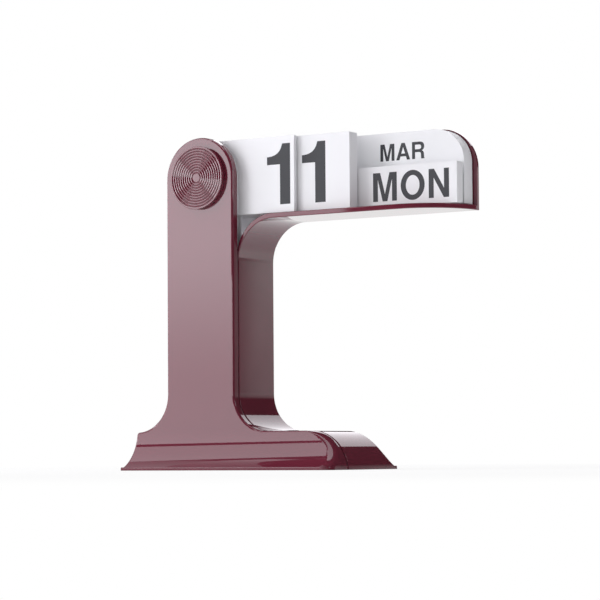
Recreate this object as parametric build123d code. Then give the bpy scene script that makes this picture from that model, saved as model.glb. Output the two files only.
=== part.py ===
from build123d import *
from math import asin, cos, degrees, sin, sqrt
import os

# Desk calendar: a hollow column on a flared base carries a pivot pin, and date cards
# turn on the pin from the arm's tray, up and over the top, to hang inside the column.
# X runs along the arm, Y from front to rear and Z up. Sizes are in millimetres, and the
# origin is the middle of the footprint.

# Body
height = 165.0
column_width = 40.4
arm_depth = 41.8
arm_plate_drop = 1.7
arm_corner_radius = 19.4
base_reach = 83.5
base_top = 18.9
toe_radius = 19.0
toe_tip_radius = 1.5
heel_radius = 19.0
knee_radius = 20.0
nose_radius = 20.4

# Walls, rims and edges
panel_wall = 2.4
strip_wall = 1.4
tray_wall = 2.4
rim_wall = 2.0
rim_depth = 4.2
seam_gap = 0.8
edge_radius = 1.0
strip_edge_radius = 0.35
tray_end_flat = 0.8

# Skirt of the base
flare_radius = 21.4
flare_reach = 13.4
lip_flat = 1.45
lip_height = 1.6
lip_edge_radius = 0.5

# Pivot pin and knobs
axle_radius = 4.0
axle_running_clearance = 0.06
press_clearance = 0.02
knob_radius = 15.7
knob_thickness = 3.1
knob_gap = 0.1
knob_edge_chamfer = 0.5
knob_bore_depth = 2.0
knob_end_clearance = 0.1
ring_count = 10
ring_depth = 0.4
ring_disc_radius = 2.1
ring_border = 0.9
ring_crest_share = 0.36
ring_slope_share = 0.2

# Cards and what spaces them on the pin
card_thickness = 0.66
card_gap = 0.12
card_rim_clearance = 2.22
card_bore_clearance = 0.08
card_side_clearance = 0.2
card_floor_clearance = 0.3
card_desk_clearance = 6.5
card_corner_radius = 0.5
tens_length = 51.9
units_length = 82.0
units_top_drop = 0.3
word_end_margin = 2.2
word_top_drop = 0.8
day_drop = 16.9
day_step = 36.0
day_step_radius = 5.0
month_corner_radius = 16.6
washer_thickness = 0.68
rear_washer_thickness = 0.62
washer_wall = 4.0

# Screws between the shells
screw_count = 2
screw_first_offset = 14.0
screw_last_offset = 15.3
screw_height = 8.6
screw_shank_radius = 1.5
screw_head_radius = 2.8
screw_head_height = 2.0
screw_slot_width = 0.8
screw_slot_depth = 0.9
screw_grip = 9.0
pilot_end_clearance = 1.0
boss_wall = 1.5
boss_reach = 9.0
boss_joint_gap = 0.1
boss_seat = 3.0
shank_clearance = 0.2
head_clearance = 0.3

overrun = 5.0
match_tolerance = 0.02
sample_shares = (0.0, 0.3, 0.6, 1.0)

# The stack of cards, from front to rear
tens_names = [f"tens_card_{digit}" for digit in range(4)]
units_names = [f"units_card_{digit}" for digit in range(10)]
day_names = [f"day_card_{day}" for day in "mon tue wed thu fri sat sun".split()]
month_names = [
    f"month_card_{month}"
    for month in "jan feb mar apr may jun jul aug sep oct nov dec".split()
]
hanging_names = ["tens_card_0", "units_card_0", "month_card_jan", "month_card_feb"]
card_names = tens_names + units_names + day_names + month_names
card_pitch = card_thickness + card_gap
washer_room = washer_thickness + card_gap
card_setback = rim_depth + card_rim_clearance
stack_depth = len(card_names) * card_pitch + washer_room

# Places that follow from the sizes
body_depth = card_setback + stack_depth + rear_washer_thickness + card_gap + panel_wall
front_y = -body_depth / 2
rear_y = body_depth / 2
rim_y = front_y + rim_depth
strip_y = rim_y + seam_gap
front_inner_y = front_y + panel_wall
rear_inner_y = rear_y - panel_wall
column_half = column_width / 2
pivot_z = height - column_half
arm_underside = height - arm_depth
arm_top = height - arm_plate_drop
card_above = column_half - strip_wall - card_side_clearance
word_above = card_above - word_top_drop
card_below = arm_depth - column_half - tray_wall - card_floor_clearance
word_length = sqrt((pivot_z - card_desk_clearance) ** 2 - card_below**2)
arm_reach = word_length + word_end_margin
pivot_x = (column_half + toe_radius - arm_reach) / 2
column_left = pivot_x - column_half
column_right = pivot_x + column_half
toe_x = column_left - toe_radius
heel_x = column_right + heel_radius
knee_x = column_right + knee_radius
arm_end = pivot_x + arm_reach
base_end = pivot_x + base_reach
nose_z = base_top - nose_radius
nose_x = base_end - sqrt(nose_radius**2 - nose_z**2)
arc_reach = flare_reach - lip_flat
flare_top = lip_height + sqrt(flare_radius**2 - (flare_radius - arc_reach) ** 2)
skirt_inner_reach = flare_radius - sqrt((flare_radius + panel_wall) ** 2 - flare_top**2)
boss_radius = screw_head_radius + head_clearance + boss_wall
boss_y = strip_y + boss_reach
seat_y = boss_y + boss_joint_gap + boss_seat
screw_tip_y = boss_y - screw_grip
first_screw_x = column_right + screw_first_offset
screw_step = (base_end - screw_last_offset - first_screw_x) / (screw_count - 1)
screw_places = [first_screw_x + i * screw_step for i in range(screw_count)]


def slab(face, y_start, y_end):
    # A shape drawn in front view, given depth from y_start back to y_end.
    return extrude(Plane.XZ.offset(-y_start) * face, amount=y_start - y_end)


def beam(face):
    # A shape drawn in side view, drawn out past both ends of the body.
    x_start = toe_x - overrun
    return extrude(Plane.YZ.offset(x_start) * face, amount=arm_end + overrun - x_start)


def rod(radius, x, z, y_start, y_end):
    return slab(Pos(x, z) * Circle(radius), y_start, y_end)


def ring(inner_radius, outer_radius, y_start, y_end):
    section = Circle(outer_radius) - Circle(inner_radius)
    return slab(Pos(pivot_x, pivot_z) * section, y_start, y_end)


def chain(points_and_arcs):
    # Joins points by lines, and passes arcs through as they are.
    edges = []
    last = None
    for item in points_and_arcs:
        start = item if isinstance(item, tuple) else tuple(item @ 0)[:2]
        if last is not None and sqrt((start[0] - last[0]) ** 2 + (start[1] - last[1]) ** 2) > 0:
            edges.append(Line(last, start))
        if not isinstance(item, tuple):
            edges.append(item)
        last = start if isinstance(item, tuple) else tuple(item @ 1)[:2]
    return make_face(edges)


def nose_arc(inset, floor):
    # The base's rounded right end, from its top down to the given level.
    radius = nose_radius - inset
    end_angle = degrees(asin((floor - nose_z) / radius))
    return CenterArc((nose_x, nose_z), radius, 90, end_angle - 90)


def heel_arc(inset):
    return CenterArc((heel_x, base_top + heel_radius), heel_radius + inset, 180, 90)


def knee_arc(inset, floor_wall):
    # The bend from the arm's floor, as thick as its wall, into the column's side.
    centre = (knee_x, arm_underside - knee_radius + floor_wall - inset)
    return CenterArc(centre, knee_radius + inset, 90, 90)


def toe_arcs(inset, tip_radius):
    # The base's left shoulder, after its tip where that is rounded.
    reach = inset + tip_radius
    lean = asin(reach / (toe_radius + reach))
    sweep = 90 - degrees(lean)
    centre_z = base_top + toe_radius
    shoulder = CenterArc((toe_x, centre_z), toe_radius + inset, -sweep, sweep)
    if tip_radius == 0:
        return [shoulder]
    tip_centre = (toe_x + reach, centre_z - (toe_radius + reach) * cos(lean))
    return [CenterArc(tip_centre, tip_radius, 180, -sweep), shoulder]


def column_face(inset, floor, tip_radius):
    # Front view of column and base, drawn inside the true outline by the inset.
    nose = nose_arc(inset, floor)
    crown = CenterArc((pivot_x, pivot_z), column_half - inset, 180, -180)
    left_foot = (toe_x + inset, floor)
    return chain([left_foot] + toe_arcs(inset, tip_radius) + [crown, heel_arc(inset), nose, left_foot])


def column_and_arm_face():
    # Rear view outline: the column's round top runs into the arm's plate.
    crown_end = degrees(asin((arm_top - pivot_z) / column_half))
    crown = CenterArc((pivot_x, pivot_z), column_half, 180, crown_end - 180)
    corner_centre = (arm_end - arm_corner_radius, arm_top - arm_corner_radius)
    corner = CenterArc(corner_centre, arm_corner_radius, 90, -90)
    arm_foot = (arm_end, arm_underside)
    left_foot = (toe_x, 0)
    left_side = [left_foot] + toe_arcs(0, toe_tip_radius)
    lower = [knee_arc(0, 0), heel_arc(0), nose_arc(0, 0), left_foot]
    return chain(left_side + [crown, corner, arm_foot] + lower)


def bay_face():
    # The room behind the strip: open to the left, above and below.
    left = toe_x - overrun
    top = height + overrun
    right = arm_end + overrun
    nose = nose_arc(strip_wall, 0)
    nose_foot = (tuple(nose @ 1)[0], -overrun)
    tray = (right, arm_underside + tray_wall)
    corners = [(left, -overrun), (left, top), (right, top), tray]
    bends = [knee_arc(strip_wall, tray_wall), heel_arc(strip_wall)]
    return chain(corners + bends + [nose, nose_foot, corners[0]])


def skirt_face(panel_y, outward, inner_y):
    # Side view of a panel and its flared skirt. outward is -1 at the front and 1 at the rear.
    centre = (panel_y + outward * flare_radius, flare_top)
    foot_y = panel_y + outward * arc_reach
    mid_angle = asin((flare_top - lip_height) / flare_radius) / 2
    mid_y = centre[0] - outward * flare_radius * cos(mid_angle)
    mid_z = flare_top - flare_radius * sin(mid_angle)
    flare = ThreePointArc((foot_y, lip_height), (mid_y, mid_z), (panel_y, flare_top))
    top = height + overrun
    return chain([(inner_y, 0), (foot_y, 0), flare, (panel_y, top), (inner_y, top), (inner_y, 0)])


def skirt_room_face(panel_y, outward, inner_y):
    # Side view of the room inside a panel and its skirt.
    radius = flare_radius + panel_wall
    centre_y = panel_y + outward * flare_radius
    wall_y = panel_y - outward * panel_wall
    foot_y = panel_y + outward * skirt_inner_reach
    mid_angle = asin(flare_top / radius) / 2
    mid_y = centre_y - outward * radius * cos(mid_angle)
    mid_z = flare_top - radius * sin(mid_angle)
    flare = ThreePointArc((foot_y, 0), (mid_y, mid_z), (wall_y, flare_top))
    top = height + overrun
    low = -overrun
    return chain([(inner_y, low), (foot_y, low), flare, (wall_y, top), (inner_y, top), (inner_y, low)])


def edges_at(edges, axis, place):
    # The edges that lie wholly at one place along an axis.
    return edges.filter_by_position(axis, place - match_tolerance, place + match_tolerance)


def lip(panel_y, outward):
    # The thin foot along the skirt's lower edge.
    inner = panel_y + outward * arc_reach
    outer = panel_y + outward * flare_reach
    face = chain([(inner, 0), (outer, 0), (outer, lip_height), (inner, lip_height), (inner, 0)])
    bar = beam(face) & slab(column_face(0, 0, toe_tip_radius), outer - overrun, outer + overrun)
    return fillet(edges_at(edges_at(bar.edges(), Axis.Y, outer), Axis.Z, lip_height), lip_edge_radius)


def skin_y(panel_y, outward, z):
    # Depth of the outside surface of a panel and its skirt at one height.
    if z >= flare_top:
        return panel_y
    return panel_y + outward * (flare_radius - sqrt(flare_radius**2 - (flare_top - z) ** 2))


def skin_edges(block, panel_y, outward):
    # The outline's edges on the outside surface, without the panel's line into its skirt.
    kept = []
    for edge in block.edges():
        points = [edge @ share for share in sample_shares]
        heights = [point.Z for point in points]
        on_skin = all(
            point.Z > lip_height - match_tolerance
            and abs(point.Y - skin_y(panel_y, outward, point.Z)) < match_tolerance
            for point in points
        )
        level = max(heights) - min(heights) < match_tolerance
        at_line = any(abs(heights[0] - line) < match_tolerance for line in (flare_top, lip_height))
        if on_skin and not (level and at_line):
            kept.append(edge)
    return kept


def boss(x, y_start, y_end):
    return rod(boss_radius, x, screw_height, y_start, y_end)


def make_front_shell():
    front_most = front_y - flare_reach
    profile = beam(skirt_face(front_y, -1, rim_y + overrun))
    block = slab(column_face(0, 0, toe_tip_radius), front_most, rim_y) & profile
    block = fillet(skin_edges(block, front_y, -1), edge_radius)
    room = slab(column_face(rim_wall, -overrun, 0), front_most, rim_y + overrun)
    room &= beam(skirt_room_face(front_y, -1, rim_y + overrun))
    for x in screw_places:
        room -= boss(x, front_most, rim_y + overrun)
    shell = block + lip(front_y, -1) - room
    shell = fillet(edges_at(shell.edges(), Axis.Y, rim_y), strip_edge_radius)
    for x in screw_places:
        shell += boss(x, front_y, boss_y)
        tip = screw_tip_y - pilot_end_clearance
        shell -= rod(screw_shank_radius + press_clearance, x, screw_height, tip, boss_y)
    return shell - rod(axle_radius + axle_running_clearance, pivot_x, pivot_z, front_most, rim_y)


def tray_corner():
    # What is cut from the tray's front corner, so that it sweeps back to the arm's plate.
    radius = rear_inner_y - strip_y - tray_end_flat
    centre = (arm_end - radius, strip_y + radius)
    outside = (arm_end + overrun, strip_y - overrun)
    sweep = CenterArc(centre, radius, -90, 90)
    edge = (outside[0], centre[1])
    face = chain([(centre[0], outside[1]), sweep, edge, outside, (centre[0], outside[1])])
    low = arm_underside - overrun
    return extrude(Plane.XY.offset(low) * face, amount=height - low)


def make_rear_shell():
    rear_most = rear_y + flare_reach
    profile = beam(skirt_face(rear_y, 1, strip_y - overrun))
    block = slab(column_and_arm_face(), strip_y, rear_most) & profile
    block = fillet(skin_edges(block, rear_y, 1), edge_radius)
    room = slab(bay_face(), strip_y - overrun, rear_most)
    room &= beam(skirt_room_face(rear_y, 1, strip_y - overrun))
    for x in screw_places:
        room -= boss(x, boss_y + boss_joint_gap, rear_most)
    shell = block + lip(rear_y, 1) - room - tray_corner()
    for x in screw_places:
        shell -= rod(screw_shank_radius + shank_clearance, x, screw_height, boss_y, seat_y)
        shell -= rod(screw_head_radius + head_clearance, x, screw_height, seat_y, rear_most)
    shell -= rod(axle_radius + axle_running_clearance, pivot_x, pivot_z, rear_inner_y, rear_most)
    return fillet(edges_at(shell.edges(), Axis.Y, strip_y), strip_edge_radius)


def make_screw(x):
    shank = rod(screw_shank_radius, x, screw_height, screw_tip_y, seat_y)
    head = rod(screw_head_radius, x, screw_height, seat_y, seat_y + screw_head_height)
    slot = Rectangle(screw_head_radius * 2 + overrun, screw_slot_width)
    slot_y = seat_y + screw_head_height - screw_slot_depth
    return shank + head - slab(Pos(x, screw_height) * slot, slot_y, slot_y + overrun)


def make_knob(panel_y, outward):
    # A round cap with raised rings round a plain disc on its face, turned about the pivot.
    back = knob_gap
    face = knob_gap + knob_thickness
    floor = face - ring_depth
    bore = axle_radius + press_clearance
    bore_end = back + knob_bore_depth
    points = [(bore, back), (knob_radius, back), (knob_radius, face - knob_edge_chamfer)]
    points.append((knob_radius - knob_edge_chamfer, face))
    pitch = (knob_radius - ring_border - ring_disc_radius) / (ring_count - ring_crest_share)
    slope = pitch * ring_slope_share
    crest = pitch * ring_crest_share
    for i in range(ring_count):
        outer = knob_radius - ring_border - i * pitch
        points += [(outer, face), (outer - slope, floor)]
        points += [(outer - pitch + crest + slope, floor), (outer - pitch + crest, face)]
    points += [(0, face), (0, bore_end), (bore, bore_end)]
    section = make_face(Polyline(*[(r, outward * a) for r, a in points], close=True))
    return Pos(pivot_x, panel_y, pivot_z) * revolve(section, Axis.Y)


def card_face(above, corners, radii):
    # Front view of a card from its round end at the pivot, corners counted from the top left.
    path = FilletPolyline((0, above), *corners, (0, -card_below), radius=radii)
    end_radius = (above + card_below) / 2
    round_end = ThreePointArc((0, -card_below), (-end_radius, above - end_radius), (0, above))
    bore = Circle(axle_radius + card_bore_clearance)
    return make_face(path.edges() + [round_end]) - bore


def plain_face(above, length, top_radius):
    corners = [(length, above), (length, -card_below)]
    return card_face(above, corners, [top_radius, card_corner_radius])


def day_face():
    day_top = word_above - day_drop
    step = [(day_step, word_above), (day_step, day_top)]
    corners = step + [(word_length, day_top), (word_length, -card_below)]
    return card_face(word_above, corners, [day_step_radius] * len(step) + [card_corner_radius] * len(step))


def make_cards():
    faces = {}
    for names, face in (
        (tens_names, plain_face(card_above, tens_length, card_corner_radius)),
        (units_names, plain_face(card_above - units_top_drop, units_length, card_corner_radius)),
        (day_names, day_face()),
        (month_names, plain_face(word_above, word_length, month_corner_radius)),
    ):
        faces.update({name: face for name in names})
    cards = {}
    y = front_y + card_setback
    for name in card_names:
        if name == day_names[0]:
            y += washer_room
        turn = -90 if name in hanging_names else 0
        placed = Pos(pivot_x, pivot_z) * Rot(0, 0, turn) * faces[name]
        cards[name] = slab(placed, y, y + card_thickness)
        y += card_pitch
    return cards


def make_pivot():
    end = knob_gap + knob_bore_depth - knob_end_clearance
    bore = axle_radius + press_clearance
    collar = axle_radius + washer_wall
    first_card_y = front_y + card_setback
    middle_y = first_card_y + (len(tens_names) + len(units_names)) * card_pitch
    rear_washer_y = first_card_y + stack_depth
    return {
        "pivot_axle": rod(axle_radius, pivot_x, pivot_z, front_y - end, rear_y + end),
        "front_knob": make_knob(front_y, -1),
        "rear_knob": make_knob(rear_y, 1),
        "front_spacer": ring(bore, collar, front_inner_y + card_gap, first_card_y - card_gap),
        "middle_washer": ring(bore, collar, middle_y, middle_y + washer_thickness),
        "rear_washer": ring(bore, collar, rear_washer_y, rear_washer_y + rear_washer_thickness),
    }


parts = {"front_shell": make_front_shell(), "rear_shell": make_rear_shell()}
parts.update(make_pivot())
parts["shell_screws"] = Compound([make_screw(x).solid() for x in screw_places])
parts.update(make_cards())

os.makedirs("parts", exist_ok=True)
for name, part in parts.items():
    export_step(part, f"parts/{name}.step")
print(f"{len(parts)} pieces, {arm_end - toe_x:.1f} by {body_depth + 2 * flare_reach:.1f} by {height:.1f} mm")
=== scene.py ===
import math
import re

import bmesh
import bpy
from mathutils import Matrix, Vector


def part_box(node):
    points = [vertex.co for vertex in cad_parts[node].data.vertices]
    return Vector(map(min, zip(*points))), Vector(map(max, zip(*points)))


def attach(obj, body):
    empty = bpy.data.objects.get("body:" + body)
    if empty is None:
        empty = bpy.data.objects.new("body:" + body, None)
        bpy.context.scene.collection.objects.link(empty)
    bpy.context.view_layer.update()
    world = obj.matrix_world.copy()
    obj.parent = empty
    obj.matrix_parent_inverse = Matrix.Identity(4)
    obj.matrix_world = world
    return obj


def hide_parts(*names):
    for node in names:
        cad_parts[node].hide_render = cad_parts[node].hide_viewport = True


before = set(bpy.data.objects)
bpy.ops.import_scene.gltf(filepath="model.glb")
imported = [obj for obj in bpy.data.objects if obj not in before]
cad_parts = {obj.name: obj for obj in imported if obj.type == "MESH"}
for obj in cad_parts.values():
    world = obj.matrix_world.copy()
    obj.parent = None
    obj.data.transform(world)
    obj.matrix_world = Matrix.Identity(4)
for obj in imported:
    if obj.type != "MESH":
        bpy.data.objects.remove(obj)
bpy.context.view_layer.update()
scene = bpy.context.scene
scene.view_settings.view_transform = "Standard"
mm = 0.001
print("frame loaded,", len(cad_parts), "nodes")


def toLinear(hexColour):
    # sRGB hex to the linear RGBA that the sockets take
    shares = [int(hexColour[i:i + 2], 16) / 255 for i in (1, 3, 5)]
    linear = [c / 12.92 if c <= 0.04045 else ((c + 0.055) / 1.055) ** 2.4 for c in shares]
    return (*linear, 1.0)


def addNode(tree, kind, values=None, links=None, **settings):
    # one node, its settings, its fixed socket values and its incoming links
    made = tree.nodes.new(kind)
    for name, value in settings.items():
        setattr(made, name, value)
    for socket, value in (values or {}).items():
        made.inputs[socket].default_value = value
    for socket, source in (links or {}).items():
        tree.links.new(source, made.inputs[socket])
    return made


def newMaterial(name):
    made = bpy.data.materials.new(name)
    made.use_nodes = True
    made.node_tree.nodes.clear()
    return made, made.node_tree


# camera, as fitted to the photo: low, in front and to the right
cameraSettings = {
    "place": (0.669145, -1.014627, 0.007966),
    "pan": 33.4959,
    "tilt": 3.5354,
    "roll": -0.3972,
    "lens": 148.949,
    "sensor": 36.0,
    "near": 0.05,
}


def makeCamera(settings):
    pan, tilt, roll = (math.radians(settings[key]) for key in ("pan", "tilt", "roll"))
    ahead = Vector((-math.sin(pan) * math.cos(tilt), math.cos(pan) * math.cos(tilt), math.sin(tilt)))
    levelRight = Vector((math.cos(pan), math.sin(pan), 0))
    levelUp = levelRight.cross(ahead)
    right = levelRight * math.cos(roll) + levelUp * math.sin(roll)
    up = levelUp * math.cos(roll) - levelRight * math.sin(roll)
    data = bpy.data.cameras.new("camera")
    data.lens = settings["lens"]
    data.sensor_width = settings["sensor"]
    data.clip_start = settings["near"]
    camera = bpy.data.objects.new("camera", data)
    scene.collection.objects.link(camera)
    turn = Matrix((right, up, -ahead)).transposed().to_4x4()
    camera.matrix_world = Matrix.Translation(settings["place"]) @ turn
    scene.camera = camera


makeCamera(cameraSettings)
print("camera placed")


# soft boxes round the object; az 0 is straight in front, minus is to the left, levels are against white;
# places and levels were matched to the photo's reflections and shadows
softBoxes = {
    "keyLeft": {"aim": (-0.03, -0.02, 0.32), "az": -41, "el": 0, "roll": 0, "away": 1.0, "size": (0.40, 0.66),
                "level": 3.65, "ends": (1.0, 1.0)},
    "frontLow": {"aim": (-0.03, -0.02, 0.085), "az": -3, "el": 0, "roll": 0, "away": 1.0, "size": (1.00, 0.17),
                 "level": 3.4, "ends": (1.0, 1.0)},
    "upperLeft": {"aim": (-0.03, -0.025, 0.01), "az": -64.7, "el": 48.2, "roll": 15.3, "away": 1.0,
                  "size": (0.84, 0.465), "level": 3.3, "ends": (0.55, 1.0)},
    "sideLeft": {"aim": (-0.03, -0.025, 0.01), "az": -118, "el": 47, "roll": 0, "away": 1.0,
                 "size": (0.40, 0.26), "level": 0.65, "ends": (1.0, 1.0)},
    "overhead": {"aim": (-0.02, -0.01, 0.085), "az": 0, "el": 88, "roll": 0, "away": 1.0, "size": (0.70, 0.70),
                 "level": 2.6, "ends": (1.0, 1.0)},
    "backLeft": {"aim": (-0.02, -0.01, 0.085), "az": -168.5, "el": 24, "roll": 0, "away": 1.1, "size": (0.80, 0.46),
                 "level": 2.4, "ends": (1.0, 1.0)},
    "sideRight": {"aim": (0.06, 0, 0.15), "az": 88, "el": 14, "roll": 0, "away": 0.30, "size": (0.17, 0.10),
                  "level": 3.7, "ends": (1.0, 1.0)},
    "farLeft": {"aim": (-0.02, -0.01, 0.14), "az": -75, "el": 8, "roll": 0, "away": 1.0, "size": (0.35, 0.50),
                "level": 6.4, "ends": (1.0, 1.0)},
}
lampColour = "#fbfaff"  # daylight tubes, a trace cool


def makeSoftBox(name, settings):
    az, el, roll = (math.radians(settings[key]) for key in ("az", "el", "roll"))
    towards = Vector((math.sin(az) * math.cos(el), -math.cos(az) * math.cos(el), math.sin(el)))
    levelSide = Vector((math.cos(az), math.sin(az), 0))
    levelUp = towards.cross(levelSide)
    side = levelSide * math.cos(roll) + levelUp * math.sin(roll)
    up = levelUp * math.cos(roll) - levelSide * math.sin(roll)
    width, height = settings["size"]
    data = bpy.data.lights.new(name, "AREA")
    data.shape = "RECTANGLE"
    data.size, data.size_y = width, height
    data.color = toLinear(lampColour)[:3]
    data.energy = settings["level"] * width * height * math.pi
    data.use_nodes = True
    tree = data.node_tree
    tree.nodes.clear()
    # the cloth is brighter at one end where the lamp stands behind it
    across = addNode(tree, "ShaderNodeNewGeometry")
    split = addNode(tree, "ShaderNodeSeparateXYZ", links={0: across.outputs["Parametric"]})
    glow = addNode(tree, "ShaderNodeMapRange", {3: settings["ends"][0], 4: settings["ends"][1]},
                   {0: split.outputs["X"]})
    shine = addNode(tree, "ShaderNodeEmission", links={"Strength": glow.outputs[0]})
    addNode(tree, "ShaderNodeOutputLight", links={"Surface": shine.outputs[0]})
    box = bpy.data.objects.new(name, data)
    scene.collection.objects.link(box)
    turn = Matrix((side, up, towards)).transposed().to_4x4()
    box.matrix_world = Matrix.Translation(Vector(settings["aim"]) + towards * settings["away"]) @ turn
    box.visible_camera = False


for boxName, boxSettings in softBoxes.items():
    makeSoftBox(boxName, boxSettings)
print("lights placed")


# white paper surroundings: white to the camera, white to gloss only low down behind the object, where the paper
# stands up, and a weak fill that the room gives to everything else
surroundings = {"paper": "#ffffff", "fill": 0.17, "paperTop": 8.0, "paperSoft": 3.0, "roomGloss": 0.04,
                "paperAz": -163, "paperHalf": 51.9, "paperEdge": 0.35}


def makeWorld(settings):
    world = bpy.data.worlds.new("paper_sweep")
    world.use_nodes = True
    scene.world = world
    tree = world.node_tree
    tree.nodes.clear()
    path = addNode(tree, "ShaderNodeLightPath")
    place = addNode(tree, "ShaderNodeTexCoord")
    split = addNode(tree, "ShaderNodeSeparateXYZ", links={0: place.outputs["Generated"]})
    low = math.sin(math.radians(settings["paperTop"] - settings["paperSoft"]))
    high = math.sin(math.radians(settings["paperTop"] + settings["paperSoft"]))
    height = addNode(tree, "ShaderNodeMapRange", {1: low, 2: high, 3: 1.0, 4: 0.0}, {0: split.outputs["Z"]})
    az, half, edge = (math.radians(settings[key]) for key in ("paperAz", "paperHalf", "paperEdge"))
    aside = addNode(tree, "ShaderNodeVectorMath", {1: (math.sin(az), -math.cos(az), 0)},
                    {0: place.outputs["Generated"]}, operation="DOT_PRODUCT")
    width = addNode(tree, "ShaderNodeMapRange", {1: math.cos(half + edge), 2: math.cos(half - edge)},
                    {0: aside.outputs["Value"]})
    stands = addNode(tree, "ShaderNodeMath", links={0: height.outputs[0], 1: width.outputs[0]}, operation="MULTIPLY")
    paper = addNode(tree, "ShaderNodeMath", {1: settings["roomGloss"]}, {0: stands.outputs[0]}, operation="MAXIMUM")
    mirrored = addNode(tree, "ShaderNodeMath", links={0: path.outputs["Is Glossy Ray"],
                       1: path.outputs["Is Transmission Ray"]}, operation="MAXIMUM")
    unseen = addNode(tree, "ShaderNodeMix", {2: settings["fill"]},
                     {0: mirrored.outputs[0], 3: paper.outputs[0]}, data_type="FLOAT")
    strength = addNode(tree, "ShaderNodeMix", {3: 1.0}, {0: path.outputs["Is Camera Ray"], 2: unseen.outputs[0]},
                       data_type="FLOAT")
    back = addNode(tree, "ShaderNodeBackground", {"Color": toLinear(settings["paper"])},
                   {"Strength": strength.outputs[0]})
    addNode(tree, "ShaderNodeOutputWorld", links={"Surface": back.outputs[0]})


makeWorld(surroundings)

# pale paper floor; far from the object the paper is plain white to the eye, near it it takes the shadow
floorSettings = {"half": 4.0, "drop": 0.0001, "colour": "#f4f4f4", "litWithin": 0.20, "whiteFrom": 0.60,
                 "whiteNear": 0.82, "glossNear": 0.25}


def makeFloor(settings):
    half, drop = settings["half"], settings["drop"]
    mesh = bpy.data.meshes.new("floor")
    corners = [(x * half, y * half, -drop) for x, y in ((-1, -1), (1, -1), (1, 1), (-1, 1))]
    mesh.from_pydata(corners, [], [(0, 1, 2, 3)])
    floor = bpy.data.objects.new("floor", mesh)
    scene.collection.objects.link(floor)
    made, tree = newMaterial("matt_paper_sweep")
    place = addNode(tree, "ShaderNodeTexCoord")
    reach = addNode(tree, "ShaderNodeVectorMath", links={0: place.outputs["Object"]}, operation="LENGTH")
    path = addNode(tree, "ShaderNodeLightPath")
    shares = []
    for near, ray in (("whiteNear", "Is Camera Ray"), ("glossNear", "Is Glossy Ray")):
        far = addNode(tree, "ShaderNodeMapRange", {1: settings["litWithin"], 2: settings["whiteFrom"],
                      3: settings[near]}, {0: reach.outputs["Value"]}, interpolation_type="SMOOTHSTEP")
        shares.append(addNode(tree, "ShaderNodeMath", links={0: path.outputs[ray], 1: far.outputs[0]},
                              operation="MULTIPLY"))
    share = addNode(tree, "ShaderNodeMath", links={0: shares[0].outputs[0], 1: shares[1].outputs[0]},
                    operation="MAXIMUM")
    paper = addNode(tree, "ShaderNodeBsdfDiffuse", {"Color": toLinear(settings["colour"])})
    white = addNode(tree, "ShaderNodeEmission", {"Strength": 1.0})
    mixed = addNode(tree, "ShaderNodeMixShader", links={0: share.outputs[0], 1: paper.outputs[0],
                    2: white.outputs[0]})
    addNode(tree, "ShaderNodeOutputMaterial", links={"Surface": mixed.outputs[0]})
    mesh.materials.append(made)


makeFloor(floorSettings)
print("floor and surroundings made")


# moulded ABS, polished tool: deep colour under a hard clear gloss, with faint flow marks and orange peel
absSettings = {"colour": "#6c2938", "flowColour": "#672635", "flow": 60, "peel": 3.0, "peelHeight": 0.0006,
               "smudge": 25, "smudgeRange": (0.35, 0.75), "roughness": (0.035, 0.07), "ior": 1.53,
               "paintedSheenFrom": 38, "paintedSheenTo": 120, "paintedSheen": 0.70, "edgeFront": -12.7}


def makeMouldedAbs(settings, edged):
    made, tree = newMaterial("moulded_abs_burgundy" + ("_edged" if edged else ""))
    place = addNode(tree, "ShaderNodeTexCoord")
    flow = addNode(tree, "ShaderNodeTexNoise", {"Scale": 1 / (settings["flow"] * mm), "Detail": 2.0},
                   {"Vector": place.outputs["Object"]})
    colour = addNode(tree, "ShaderNodeMix", {6: toLinear(settings["colour"]), 7: toLinear(settings["flowColour"])},
                     {0: flow.outputs["Fac"]}, data_type="RGBA")
    smudge = addNode(tree, "ShaderNodeTexNoise", {"Scale": 1 / (settings["smudge"] * mm), "Detail": 3.0},
                     {"Vector": place.outputs["Object"]})
    thin, thick = settings["smudgeRange"]
    low, high = settings["roughness"]
    rough = addNode(tree, "ShaderNodeMapRange", {1: thin, 2: thick, 3: low, 4: high}, {0: smudge.outputs["Fac"]})
    peel = addNode(tree, "ShaderNodeTexNoise", {"Scale": 1 / (settings["peel"] * mm), "Detail": 1.0},
                   {"Vector": place.outputs["Object"]})
    bump = addNode(tree, "ShaderNodeBump", {"Strength": 1.0, "Distance": settings["peelHeight"] * mm},
                   {"Height": peel.outputs["Fac"]})
    split = addNode(tree, "ShaderNodeSeparateXYZ", links={0: place.outputs["Object"]})
    # a clear coat weight that grows with height: painted sheen, a stronger reflection painted onto the upper half,
    # matched to the paler upper half in the photo
    paintedSheen = addNode(tree, "ShaderNodeMapRange", {1: settings["paintedSheenFrom"] * mm, 2: settings["paintedSheenTo"] * mm, 3: 0.0,
                   4: settings["paintedSheen"]}, {0: split.outputs["Z"]}, interpolation_type="SMOOTHSTEP")
    if edged:  # but not on the tray's narrow front edge: without the painted sheen that edge reflects less and shows darker, a painted shade
        behind = addNode(tree, "ShaderNodeMath", {1: settings["edgeFront"] * mm}, {0: split.outputs["Y"]},
                         operation="GREATER_THAN")
        paintedSheen = addNode(tree, "ShaderNodeMath", links={0: paintedSheen.outputs[0], 1: behind.outputs[0]},
                       operation="MULTIPLY")
    shader = addNode(tree, "ShaderNodeBsdfPrincipled", {"IOR": settings["ior"]},
                     {"Base Color": colour.outputs[2], "Roughness": rough.outputs[0], "Normal": bump.outputs[0],
                      "Coat Weight": paintedSheen.outputs[0], "Coat Normal": bump.outputs[0]})
    addNode(tree, "ShaderNodeOutputMaterial", links={"Surface": shader.outputs[0]})
    return made


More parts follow.
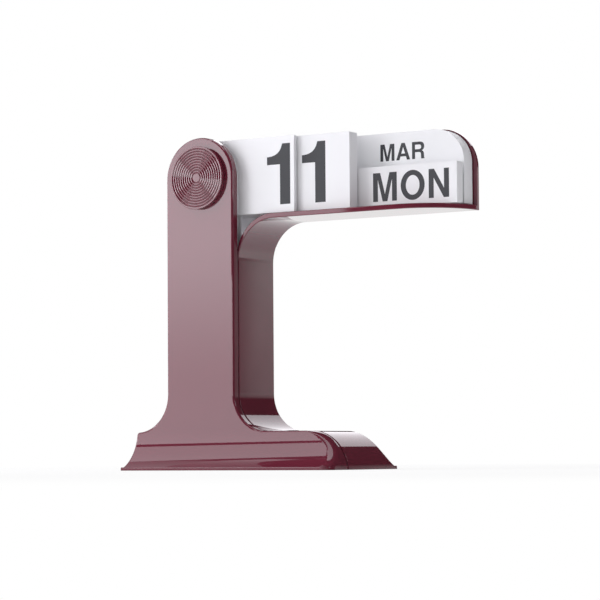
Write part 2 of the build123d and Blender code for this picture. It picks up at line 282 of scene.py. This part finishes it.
# calendered PVC sheet: even white with a satin face; its grain is drawn coarser than real so that it can show
pvcSettings = {"colour": "#f4f4f6", "shade": "#f0f1f2", "cloud": 18, "grain": 0.4, "grainHeight": 0.0008,
               "roughness": 0.42, "ior": 1.53}


def makePvcSheet(settings):
    made, tree = newMaterial("calendered_pvc_white")
    place = addNode(tree, "ShaderNodeTexCoord")
    cloud = addNode(tree, "ShaderNodeTexNoise", {"Scale": 1 / (settings["cloud"] * mm), "Detail": 3.0},
                    {"Vector": place.outputs["Object"]})
    colour = addNode(tree, "ShaderNodeMix", {6: toLinear(settings["colour"]), 7: toLinear(settings["shade"])},
                     {0: cloud.outputs["Fac"]}, data_type="RGBA")
    grain = addNode(tree, "ShaderNodeTexNoise", {"Scale": 1 / (settings["grain"] * mm), "Detail": 1.0},
                    {"Vector": place.outputs["Object"]})
    bump = addNode(tree, "ShaderNodeBump", {"Strength": 1.0, "Distance": settings["grainHeight"] * mm},
                   {"Height": grain.outputs["Fac"]})
    shader = addNode(tree, "ShaderNodeBsdfPrincipled", {"IOR": settings["ior"], "Roughness": settings["roughness"]},
                     {"Base Color": colour.outputs[2], "Normal": bump.outputs[0]})
    addNode(tree, "ShaderNodeOutputMaterial", links={"Surface": shader.outputs[0]})
    return made


# screen-printed ink: dense soft black, a little duller than the sheet, thin in places
inkSettings = {"colour": "#2a2b30", "thin": "#323338", "speck": 1.2, "roughness": 0.5, "ior": 1.5}


def makePrintInk(settings):
    made, tree = newMaterial("screen_print_ink_black")
    place = addNode(tree, "ShaderNodeTexCoord")
    speck = addNode(tree, "ShaderNodeTexNoise", {"Scale": 1 / (settings["speck"] * mm), "Detail": 4.0},
                    {"Vector": place.outputs["Object"]})
    colour = addNode(tree, "ShaderNodeMix", {6: toLinear(settings["colour"]), 7: toLinear(settings["thin"])},
                     {0: speck.outputs["Fac"]}, data_type="RGBA")
    shader = addNode(tree, "ShaderNodeBsdfPrincipled", {"IOR": settings["ior"], "Roughness": settings["roughness"]},
                     {"Base Color": colour.outputs[2]})
    addNode(tree, "ShaderNodeOutputMaterial", links={"Surface": shader.outputs[0]})
    return made


# moulded nylon 6: milky off-white, waxy gloss
nylonSettings = {"colour": "#e6e3da", "shade": "#dedacf", "cloud": 6, "roughness": 0.38, "ior": 1.53}


def makeNylon(settings):
    made, tree = newMaterial("moulded_nylon_natural")
    place = addNode(tree, "ShaderNodeTexCoord")
    cloud = addNode(tree, "ShaderNodeTexNoise", {"Scale": 1 / (settings["cloud"] * mm), "Detail": 2.0},
                    {"Vector": place.outputs["Object"]})
    colour = addNode(tree, "ShaderNodeMix", {6: toLinear(settings["colour"]), 7: toLinear(settings["shade"])},
                     {0: cloud.outputs["Fac"]}, data_type="RGBA")
    shader = addNode(tree, "ShaderNodeBsdfPrincipled", {"IOR": settings["ior"], "Roughness": settings["roughness"]},
                     {"Base Color": colour.outputs[2]})
    addNode(tree, "ShaderNodeOutputMaterial", links={"Surface": shader.outputs[0]})
    return made


# zinc-plated steel: bright grey metal, slightly cloudy plating
zincSettings = {"colour": "#c4c6c9", "shade": "#b3b5b8", "cloud": 1.5, "roughness": (0.22, 0.36)}


def makeZincSteel(settings):
    made, tree = newMaterial("zinc_plated_steel")
    place = addNode(tree, "ShaderNodeTexCoord")
    cloud = addNode(tree, "ShaderNodeTexNoise", {"Scale": 1 / (settings["cloud"] * mm), "Detail": 3.0},
                    {"Vector": place.outputs["Object"]})
    colour = addNode(tree, "ShaderNodeMix", {6: toLinear(settings["colour"]), 7: toLinear(settings["shade"])},
                     {0: cloud.outputs["Fac"]}, data_type="RGBA")
    low, high = settings["roughness"]
    rough = addNode(tree, "ShaderNodeMapRange", {3: low, 4: high}, {0: cloud.outputs["Fac"]})
    shader = addNode(tree, "ShaderNodeBsdfPrincipled", {"Metallic": 1.0},
                     {"Base Color": colour.outputs[2], "Roughness": rough.outputs[0]})
    addNode(tree, "ShaderNodeOutputMaterial", links={"Surface": shader.outputs[0]})
    return made


finishes = {
    "burgundy_abs": makeMouldedAbs(absSettings, False),
    "card_pvc": makePvcSheet(pvcSettings),
    "nylon": makeNylon(nylonSettings),
    "screw_steel": makeZincSteel(zincSettings),
}
edgedAbs = makeMouldedAbs(absSettings, True)
printInk = makePrintInk(inkSettings)
for name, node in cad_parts.items():
    slotName = node.data.materials[0].name
    node.data.materials[0] = finishes[slotName]
print("finishes given to", len(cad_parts), "nodes")


# front shell with the base's nose corner rounded more than the solids have it, in mm
noseSettings = {"corner": 4.8, "noseRadius": 20.4, "noseX": 13.155, "noseZ": -1.5, "flareRadius": 21.4,
                "flareTop": 20.8, "panel": 18.05, "lipTop": 1.6, "lip": 1.45, "footY": 30.0,
                "fromX": 6.0, "toX": 34.0, "fromY": 13.2, "toY": 32.0, "below": 19.6, "slice": 1.0,
                "least": 0.02, "weld": 0.003, "slack": 0.001, "lipSlack": 0.02, "crown": 0.01,
                "facing": 0.2, "rearward": 0.05, "flatTop": 0.9}  # these three are limits on normals, not mm


def noseCentre(settings, z):
    # middle of the corner's plan-view round at one height, and how it moves with height
    up = min(z - settings["noseZ"], settings["noseRadius"] - settings["crown"])
    reach = math.sqrt(settings["noseRadius"] ** 2 - up ** 2)
    down = settings["flareTop"] - max(z, settings["lipTop"])
    bow = math.sqrt(settings["flareRadius"] ** 2 - down ** 2)
    x = settings["noseX"] + reach - settings["corner"]
    y = -settings["panel"] - settings["flareRadius"] + bow + settings["corner"]
    return x, y, -up / reach, down / bow


def nearNose(settings, vert):
    x, y, z = vert.co / mm
    slack = settings["slack"]
    return x > settings["fromX"] - slack and y < -settings["fromY"] + slack and z < settings["below"]


def sliceNose(shape, settings):
    # cuts the shell where the corner starts, then the corner itself finely enough to take the round
    whole = [*shape.verts, *shape.edges, *shape.faces]
    bmesh.ops.bisect_plane(shape, geom=whole, plane_co=(settings["fromX"] * mm, 0, 0), plane_no=(1, 0, 0))
    spans = ((settings["fromX"], settings["toX"]), (-settings["toY"], -settings["fromY"]), (0, settings["below"]))
    for way, (start, end) in enumerate(spans):
        axis = Vector([1.0 if i == way else 0.0 for i in range(3)])
        near = [face for face in shape.faces if all(nearNose(settings, vert) for vert in face.verts)]
        for i in range(1, math.ceil((end - start) / settings["slice"])):
            at = start + i * settings["slice"]
            hit = [face for face in near if face.is_valid
                   and min(v.co[way] for v in face.verts) < at * mm < max(v.co[way] for v in face.verts)]
            parts = dict.fromkeys(part for face in hit for part in (*face.verts, *face.edges, face))
            made = bmesh.ops.bisect_plane(shape, geom=list(parts), plane_co=axis * at * mm, plane_no=axis)
            near += [part for part in made["geom"] if isinstance(part, bmesh.types.BMFace)]


def triangulateAll(shape):
    bmesh.ops.triangulate(shape, faces=[face for face in shape.faces if len(face.verts) > 3])


def roundNose(name, node):
    # works on a copy of the shell and keeps the normals that the shell came with
    settings = noseSettings
    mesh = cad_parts[node].data.copy()
    mesh.name = name
    shape = bmesh.new()
    shape.from_mesh(mesh)
    kept = shape.loops.layers.float_vector.new("keptNormal")
    cornerNormals = iter([corner.vector.copy() for corner in mesh.corner_normals])
    for face in shape.faces:
        for loop in face.loops:
            loop[kept] = next(cornerNormals)
    weld = settings["weld"] * mm
    bmesh.ops.remove_doubles(shape, verts=shape.verts, dist=weld)  # else the cuts leave cracks
    sliceNose(shape, settings)
    corner, lipSlack = settings["corner"], settings["lipSlack"]
    for vert in shape.verts:
        if not nearNose(settings, vert):
            continue
        x, y, z = vert.co / mm
        cx, cy, slopeX, slopeY = noseCentre(settings, z)
        onLip = z < settings["lipTop"] + lipSlack and y < -settings["footY"] - lipSlack
        tall = corner + settings["lip"] if onLip or z < settings["lipTop"] - lipSlack else corner
        dx, dy = x - cx, y - cy
        far = math.hypot(dx / corner, dy / tall)
        if dx <= 0 or dy >= 0 or (far - 1) * corner < settings["least"]:
            continue
        dx, dy = dx / far, dy / far
        vert.co.x, vert.co.y = (cx + dx) * mm, (cy + dy) * mm
        out = Vector((dx / corner ** 2, dy / tall ** 2, 0)).normalized()
        if tall == corner:
            out = Vector((dx, dy, -dx * slopeX - dy * slopeY)).normalized()
        for loop in vert.link_loops:
            old = loop[kept]
            onTop = tall != corner and abs(old.z) > settings["flatTop"]
            if old.dot(out) < settings["facing"] or old.y > settings["rearward"] or onTop:
                continue
            new = out
            if tall != corner:
                level = math.sqrt(max(0.0, 1 - old.z ** 2))
                new = Vector((out.x * level, out.y * level, old.z))
            loop[kept] = new
    triangulateAll(shape)
    near = [vert for vert in shape.verts if nearNose(settings, vert)]
    bmesh.ops.remove_doubles(shape, verts=near, dist=weld)
    bmesh.ops.dissolve_degenerate(shape, edges=shape.edges, dist=weld)
    triangulateAll(shape)
    shape.to_mesh(mesh)
    normals = [loop[kept].normalized() for face in shape.faces for loop in face.loops]
    shape.free()
    mesh.polygons.foreach_set("use_smooth", [True] * len(mesh.polygons))
    mesh.normals_split_custom_set(normals)
    mesh.materials.clear()
    mesh.materials.append(finishes["burgundy_abs"])
    piece = bpy.data.objects.new(name, mesh)
    scene.collection.objects.link(piece)
    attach(piece, "stand")
    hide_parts(node)


roundNose("front_shell_moulding", "front_shell")
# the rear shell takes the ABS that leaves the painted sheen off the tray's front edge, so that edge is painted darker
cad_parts["rear_shell"].data.materials[0] = edgedAbs
print("front shell rounded at the nose")


# turned knobs: a disc whose face is cut into ridges with sloped shoulders, radii and heights above the panel in mm
knobSettings = {"pivotX": -50.0012, "pivotZ": 144.8, "panel": 18.05, "sharp": 50,
                "radius": 15.7, "back": 0.1, "face": 2.5, "disc": 2.1, "firstGroove": 2.53, "pitch": 1.317,
                "grooves": 10, "depth": 0.4, "crest": 0.20, "shoulder": 0.70, "shoulderDrop": 0.09,
                "crestRound": 0.05, "edgeRound": 0.3, "backRound": 0.3, "bore": 4.02, "boreEnd": 2.05,
                "roundPoints": 5, "turnSteps": 224}


def roundedCorners(corners, roundPoints):
    # corners are (radius, height, rounding); each rounded one becomes a short curve
    points = []
    for i, (r, h, rounding) in enumerate(corners):
        if rounding == 0:
            points.append((r, h))
            continue
        here = Vector((r, h))
        before = (Vector(corners[i - 1][:2]) - here).normalized()
        after = (Vector(corners[i + 1][:2]) - here).normalized()
        for k in range(roundPoints):
            share = k / (roundPoints - 1)
            spot = here + rounding * ((1 - share) ** 2 * before + share ** 2 * after)
            points.append(tuple(spot))
    return points


def knobProfile(settings):
    # from the middle of the face round to the middle of the bore
    face, radius, back = settings["face"], settings["radius"], settings["back"]
    edge, crest = settings["crestRound"], settings["crest"] / 2
    shoulder, drop = settings["shoulder"] / 2, settings["shoulderDrop"]
    corners = [(0.0, face, 0), (settings["disc"], face, edge)]
    for i in range(settings["grooves"]):
        groove = settings["firstGroove"] + i * settings["pitch"]
        ridge = groove + settings["pitch"] / 2
        corners += [(groove, face - settings["depth"], edge), (ridge - shoulder, face - drop, edge),
                    (ridge - crest, face, edge)]
        if i < settings["grooves"] - 1:
            corners += [(ridge + crest, face, edge), (ridge + shoulder, face - drop, edge)]
    corners += [(radius, face, settings["edgeRound"]), (radius, back, settings["backRound"]),
                (settings["bore"], back, 0), (settings["bore"], settings["boreEnd"], 0), (0.0, settings["boreEnd"], 0)]
    return roundedCorners(corners, settings["roundPoints"])


def makeKnob(name, node, panel, outward):
    profile = knobProfile(knobSettings)
    steps = knobSettings["turnSteps"]
    shape = bmesh.new()
    rings = []
    for radius, height in profile:
        y = panel + outward * height * mm
        if radius == 0:
            rings.append([shape.verts.new((pivotPlace.x, y, pivotPlace.z))])
            continue
        turns = [2 * math.pi * i / steps for i in range(steps)]
        rings.append([shape.verts.new((pivotPlace.x + radius * mm * math.cos(a), y,
                                       pivotPlace.z + radius * mm * math.sin(a))) for a in turns])
    for inner, outer in zip(rings, rings[1:]):
        for i in range(steps):
            j = (i + 1) % steps
            corners = [inner[i % len(inner)], inner[j % len(inner)], outer[j % len(outer)], outer[i % len(outer)]]
            shape.faces.new(list(dict.fromkeys(corners)))
    bmesh.ops.recalc_face_normals(shape, faces=shape.faces)
    mesh = bpy.data.meshes.new(name)
    shape.to_mesh(mesh)
    shape.free()
    mesh.polygons.foreach_set("use_smooth", [True] * len(mesh.polygons))
    mesh.set_sharp_from_angle(angle=math.radians(knobSettings["sharp"]))
    mesh.materials.append(finishes["burgundy_abs"])
    piece = bpy.data.objects.new(name, mesh)
    scene.collection.objects.link(piece)
    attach(piece, "pivot")
    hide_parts(node)


pivotPlace = Vector((knobSettings["pivotX"] * mm, 0, knobSettings["pivotZ"] * mm))
makeKnob("turned_knob_front", "front_knob", -knobSettings["panel"] * mm, -1)
makeKnob("turned_knob_rear", "rear_knob", knobSettings["panel"] * mm, 1)
print("knobs turned")


# letters drawn for this calendar: a bold plain face, cap height 100, as move, line and curve steps
letterShapes = {
    "A": (100.3, "M2.8 0 L38.5 100 L62 100 L97.5 0 L75.5 0 L68.5 21 L31.5 21 L24.5 0Z"
                 "M37 37.5 L63.3 37.5 L50.2 76Z"),
    "B": (100.3, "M10.5 0 L10.5 100 L57 100 C78 100 89 90 89 74.5 C89 64 84 56.5 75.5 52.8 C87 49.5 94 41 94 28.5"
                 "C94 10.5 81 0 59 0Z M30 84 L53 84 C63.5 84 69 80 69 71.8 C69 63.5 63.5 59.5 53 59.5 L30 59.5Z"
                 "M30 43.5 L54.5 43.5 C67 43.5 73.5 38.8 73.5 30 C73.5 21 67 16.5 54.5 16.5 L30 16.5Z"),
    "C": (100.3, "M94.5 65.5 C91.5 89 76 102 53 102 C23.5 102 6 82 6 50 C6 18 23 -2 52.5 -2 C76 -2 92.5 12.5 95.5 37"
                 "L74.8 37 C72.3 23 64.5 15.8 52.8 15.8 C36 15.8 26.5 28 26.5 50 C26.5 72 36.2 84.2 53 84.2"
                 "C64.5 84.2 71.8 77.8 74 65.5Z"),
    "D": (100.3, "M10.5 0 L10.5 100 L51.5 100 C79.5 100 95 82 95 50 C95 18 79.5 0 51.5 0Z"
                 "M30.5 83 L48.5 83 C66 83 74.5 72 74.5 50 C74.5 28 66 17 48.5 17 L30.5 17Z"),
    "E": (92.6, "M10.5 0 L10.5 100 L84 100 L84 83 L31 83 L31 59.5 L79 59.5 L79 42.8 L31 42.8 L31 17 L86.5 17"
                "L86.5 0Z"),
    "F": (84.8, "M10.5 0 L10.5 100 L81 100 L81 83 L31 83 L31 58.5 L74 58.5 L74 41.5 L31 41.5 L31 0Z"),
    "G": (108, "M57 54.5 L101 54.5 L101 0 L87 0 L85 12 C77.5 2.5 67.5 -2 55 -2 C25.5 -2 6 18.5 6 50"
               "C6 82 25.5 102 55 102 C80 102 97 88.5 100.5 67.5 L80 67.5 C77 78.5 68.3 84.2 55.5 84.2"
               "C37.5 84.2 26.8 72 26.8 50 C26.8 28 37.5 15.8 56 15.8 C70 15.8 79.5 23.5 81.5 38.5 L57 38.5Z"),
    "H": (100.3, "M10 0 L10 100 L30.5 100 L30.5 61.5 L69.8 61.5 L69.8 100 L90.3 100 L90.3 0 L69.8 0 L69.8 44"
                 "L30.5 44 L30.5 0Z"),
    "I": (38.6, "M9 0 L9 100 L29.5 100 L29.5 0Z"),
    "J": (77, "M68.5 100 L48 100 L48 31 C48 20 44.5 15.3 36.5 15.3 C28 15.3 24.5 20 24.3 34 L4.5 34 L4.5 29.5"
              "C4.5 8.5 15.5 -2 36.3 -2 C57.5 -2 68.5 9 68.5 30.5Z"),
    "L": (85, "M10.5 0 L10.5 100 L31 100 L31 17.3 L81 17.3 L81 0Z"),
    "M": (115.7, "M9.7 0 L9.7 100 L39 100 L57.8 25 L76.5 100 L106 100 L106 0 L86.5 0 L86.5 76 L67.3 0 L48.3 0"
                 "L29.2 76 L29.2 0Z"),
    "N": (100.3, "M10 0 L10 100 L31.5 100 L70.5 32 L70.5 100 L90.3 100 L90.3 0 L69.5 0 L29.8 69 L29.8 0Z"),
    "O": (108, "O54 50 48 52 O54 50 27.3 34.2"),
    "P": (92.6, "M10.5 0 L10.5 100 L56 100 C78.5 100 89.5 89 89.5 68.5 C89.5 47.5 78 35.5 55 35.5 L31 35.5 L31 0Z"
                "M31 83 L51.5 83 C63.5 83 69 78.5 69 68 C69 57.5 63.5 52.5 51.5 52.5 L31 52.5Z"),
    "R": (100.3, "M10.5 0 L10.5 100 L60.5 100 C81.5 100 93 90 93 72.5 C93 60 87 51.5 77 48 C86.5 44 90.5 38 91 26"
                 "L91.8 10 C92 5.5 93 3 96 1.5 L96 0 L73.5 0 C72 3 71.3 6.5 71.2 12 L70.8 24"
                 "C70.3 35.5 66.5 39 55 39 L31 39 L31 0Z"
                 "M31 83 L55.5 83 C67 83 72.5 79 72.5 70 C72.5 60.5 67 56 55.5 56 L31 56Z"),
    "S": (92.6, "M86 68.5 C85 90.5 70.5 102 46.5 102 C22 102 7.8 90.5 7.8 71.5 C7.8 55 17.5 47 42 41.3 L53 38.8"
                "C63.5 36.4 67.8 33 67.8 27 C67.8 19.3 60 14.8 48.5 14.8 C35 14.8 26.5 20.8 25.5 31.5 L5.3 31.5"
                "C6 9.5 21.5 -2 47.5 -2 C73 -2 88.5 9.8 88.5 29.8 C88.5 46 79 54.3 57.3 59.3 L43 62.5"
                "C31.8 65 27.8 68.2 27.8 74.2 C27.8 81.2 34.5 85.2 45.5 85.2 C57.8 85.2 64.8 79.8 66 68.5Z"),
    "T": (84.8, "M32 0 L32 83 L3 83 L3 100 L81.8 100 L81.8 83 L52.5 83 L52.5 0Z"),
    "U": (100.3, "M90 100 L69.5 100 L69.5 37 C69.5 22.5 63 15.8 50.2 15.8 C37.3 15.8 30.8 22.5 30.8 37 L30.8 100"
                 "L10.3 100 L10.3 35.5 C10.3 11.5 24.5 -2 50.2 -2 C76 -2 90 11.5 90 35.5Z"),
    "V": (92.6, "M1.5 100 L23.5 100 L46.5 26 L69.2 100 L91 100 L57.5 0 L35.2 0Z"),
    "W": (131, "M1 100 L22.5 100 L38 29 L53.8 100 L77 100 L92.8 29 L108.5 100 L130 100 L104 0 L82 0 L65.4 72"
               "L48.8 0 L27 0Z"),
    "Y": (92.6, "M0.5 100 L24 100 L46.5 58.5 L68.8 100 L92 100 L56.5 38.5 L56.5 0 L36 0 L36 38.5Z"),
    "0": (77.2, "O38.6 49.5 34.5 51 O38.6 49.5 14.8 34.8"),
    "1": (77.2, "M45.6 0 L25.5 0 L25.5 66 L0 66 L0 79 C18 79.3 27 86 30 100 L45.6 100Z"),
    "2": (77.2, "M25.5 63.5 L6 63.5 C6 86.5 18.5 100 39.5 100 C59.5 100 71.5 88.5 71.5 70 C71.5 56.5 66 48 48.5 36.5"
                "C37.5 29.3 32 24 29.5 17.3 L71.5 17.3 L71.5 0 L4.5 0 C4.8 20.5 12.5 33.5 33 47.3"
                "C47.5 57 51.5 61.5 51.5 69.5 C51.5 78.3 46.8 83.3 39 83.3 C30.3 83.3 25.5 77 25.5 63.5Z"),
    "3": (77.2, "M25 70 L6 70 C6.8 89.3 18.8 100 38.3 100 C57.8 100 69.5 89.8 69.5 73.5 C69.5 63.5 65 56.5 56.5 53"
                "C66.8 49.5 72.3 41.5 72.3 30 C72.3 10.5 59 -2 38.3 -2 C18 -2 5 9.5 4.3 29.5 L23.8 29.5"
                "C24.6 19.8 29.8 14.8 38.5 14.8 C47.3 14.8 52.5 20.3 52.5 29.3 C52.5 39.5 46.5 43.8 33 43.8"
                "L31.5 43.8 L31.5 58.5 L33.5 58.5 C45.3 58.5 50.3 62.5 50.3 71.3 C50.3 79 46 83.8 38.5 83.8"
                "C30.3 83.8 25.5 79 25 70Z"),
    "4": (77.2, "M43.5 0 L43.5 21.5 L3.5 21.5 L3.5 40 L42 99 L62.5 99 L62.5 37 L74 37 L74 21.5 L62.5 21.5 L62.5 0Z"
                "M43.5 37 L43.5 75 L19.5 37Z"),
    "5": (77.2, "M68.5 98.5 L14.5 98.5 L7 43.5 L24.5 43.5 C27.5 48.5 32 51 38 51 C47.5 51 52.8 44.3 52.8 33"
                "C52.8 21.5 47.3 14.8 38 14.8 C30 14.8 25.2 18.5 23.8 26 L4 26 C5 9 18 -2 37.5 -2"
                "C58.8 -2 72.8 12 72.8 33.8 C72.8 54 60.5 66.8 42.5 66.8 C36 66.8 30.8 65 26 61.2"
                "L29 81.3 L68.5 81.3Z"),
    "6": (77.2, "M71.5 73.5 C69.5 90.3 57.5 100 41 100 C18.5 100 5 81.5 5 48 C5 15.5 17.5 -2 40 -2"
                "C59.5 -2 73 12.3 73 32.8 C73 52.5 61 66 44.3 66 C36 66 29.3 62.5 24.3 55.5"
                "C24.8 74.5 30.5 84 41 84 C47.3 84 51.3 80.5 52.5 73.5Z O39.3 32.2 13.8 17.6"),
    "7": (77.2, "M5 98.5 L5 81 L52.5 81 C34.5 62.5 23 36 19.3 0 L39.8 0 C43 36.5 54.5 64.5 72.5 84 L72.5 98.5Z"),
    "8": (77.2, "M56.8 53 C65.5 56.8 70 63.8 70 73.3 C70 89.5 57.5 100 38.6 100 C19.8 100 7.3 89.5 7.3 73.3"
                "C7.3 63.8 11.8 56.8 20.5 53 C10 49 4.3 40.8 4.3 29.5 C4.3 10.3 17.8 -2 38.6 -2"
                "C59.5 -2 73 10.3 73 29.5 C73 40.8 67.3 49 56.8 53Z O38.6 71.8 12.6 12.6 O38.6 29.7 14.6 15.3"),
}
roundHandle = 0.5523  # a quarter of an oval as one curve step
nineWidth, nineHeight = 77.2, 98  # the 9 is the 6 turned round in this frame


def letterLoops(letter):
    # closed loops of (point, handle before, handle after), in cap-height hundredths
    turned = letter == "9"
    text = letterShapes["6" if turned else letter][1]
    loops = []
    for kind, body in re.findall(r"([MLCO])([^MLCOZ]*)", text):
        n = [float(value) for value in body.split()]
        if kind == "M":
            loops.append([[(n[0], n[1]), (n[0], n[1]), (n[0], n[1])]])
        elif kind == "L":
            loops[-1].append([(n[0], n[1]), (n[0], n[1]), (n[0], n[1])])
        elif kind == "C":
            loops[-1][-1][2] = (n[0], n[1])
            loops[-1].append([(n[4], n[5]), (n[2], n[3]), (n[4], n[5])])
        else:
            x, y, a, b = n
            k = roundHandle
            loops.append([[(x + a, y), (x + a, y - k * b), (x + a, y + k * b)],
                          [(x, y + b), (x + k * a, y + b), (x - k * a, y + b)],
                          [(x - a, y), (x - a, y + k * b), (x - a, y - k * b)],
                          [(x, y - b), (x - k * a, y - b), (x + k * a, y - b)]])
    for loop in loops:
        if loop[0][0] == loop[-1][0] and len(loop) > 4:  # a last curve step that comes home
            loop[0][1] = loop[-1][1]
            loop.pop()
    if turned:
        loops = [[[(nineWidth - x, nineHeight - y) for x, y in knot] for knot in loop] for loop in loops]
    return loops


# print on the cards: place of the ink's edge along the card, baseline height, cap height, in mm
printSettings = {
    "tens": {"edge": -0.4, "side": "right", "base": 129.7, "cap": 29.9},
    "units": {"edge": 4.5, "side": "left", "base": 129.7, "cap": 29.9},
    "day": {"edge": 40.4, "side": "left", "base": 128.75, "cap": 13.9},
    "month": {"edge": 40.4, "side": "left", "base": 149.0, "cap": 8.25},
}
inkDepth = 0.02  # mm, a thick screen print
inkSunk = 0.004  # mm of it in the sheet
curveSteps = 10


def makePrint(node, family, word):
    settings = printSettings[family]
    scale = settings["cap"] / 100
    placed, pen = [], 0.0
    for letter in word:
        advance = letterShapes["6" if letter == "9" else letter][0]
        for loop in letterLoops(letter):
            placed.append([[(x + pen, y) for x, y in knot] for knot in loop])
        pen += advance
    across = [knot[0][0] for loop in placed for knot in loop]
    start = min(across) if settings["side"] == "left" else max(across)
    data = bpy.data.curves.new("print", "CURVE")
    data.dimensions = "2D"
    data.fill_mode = "BOTH"
    data.resolution_u = curveSteps
    data.extrude = inkDepth * mm / 2
    for loop in placed:
        spline = data.splines.new("BEZIER")
        spline.bezier_points.add(len(loop) - 1)
        spline.use_cyclic_u = True
        for point, knot in zip(spline.bezier_points, loop):
            spots = [Vector(((x - start) * scale * mm, y * scale * mm, 0)) for x, y in knot]
            point.handle_left_type = point.handle_right_type = "FREE"
            point.co, point.handle_left, point.handle_right = spots
    shaped = bpy.data.objects.new("print_outline", data)
    scene.collection.objects.link(shaped)
    bpy.context.view_layer.update()
    mesh = bpy.data.meshes.new_from_object(shaped.evaluated_get(bpy.context.evaluated_depsgraph_get()))
    bpy.data.objects.remove(shaped)
    low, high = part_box(node)
    hanging = high.z - low.z > high.x - low.x  # a card that is swung down into the column
    front = low.y - (inkDepth / 2 - inkSunk) * mm
    stand = Matrix.Rotation(math.radians(90), 4, "X")
    mesh.transform(Matrix.Translation((settings["edge"] * mm, front, settings["base"] * mm)) @ stand)
    if hanging:
        swing = Matrix.Rotation(math.radians(90), 4, "Y")
        mesh.transform(Matrix.Translation(pivotPlace) @ swing @ Matrix.Translation(-pivotPlace))
    piece = bpy.data.objects.new("print_" + node, mesh)
    scene.collection.objects.link(piece)
    mesh.materials.clear()
    mesh.materials.append(printInk)
    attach(piece, node)


for node in sorted(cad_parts):
    if "_card_" in node:
        makePrint(node, node.split("_")[0], node.split("_")[2].upper())
print("cards printed")
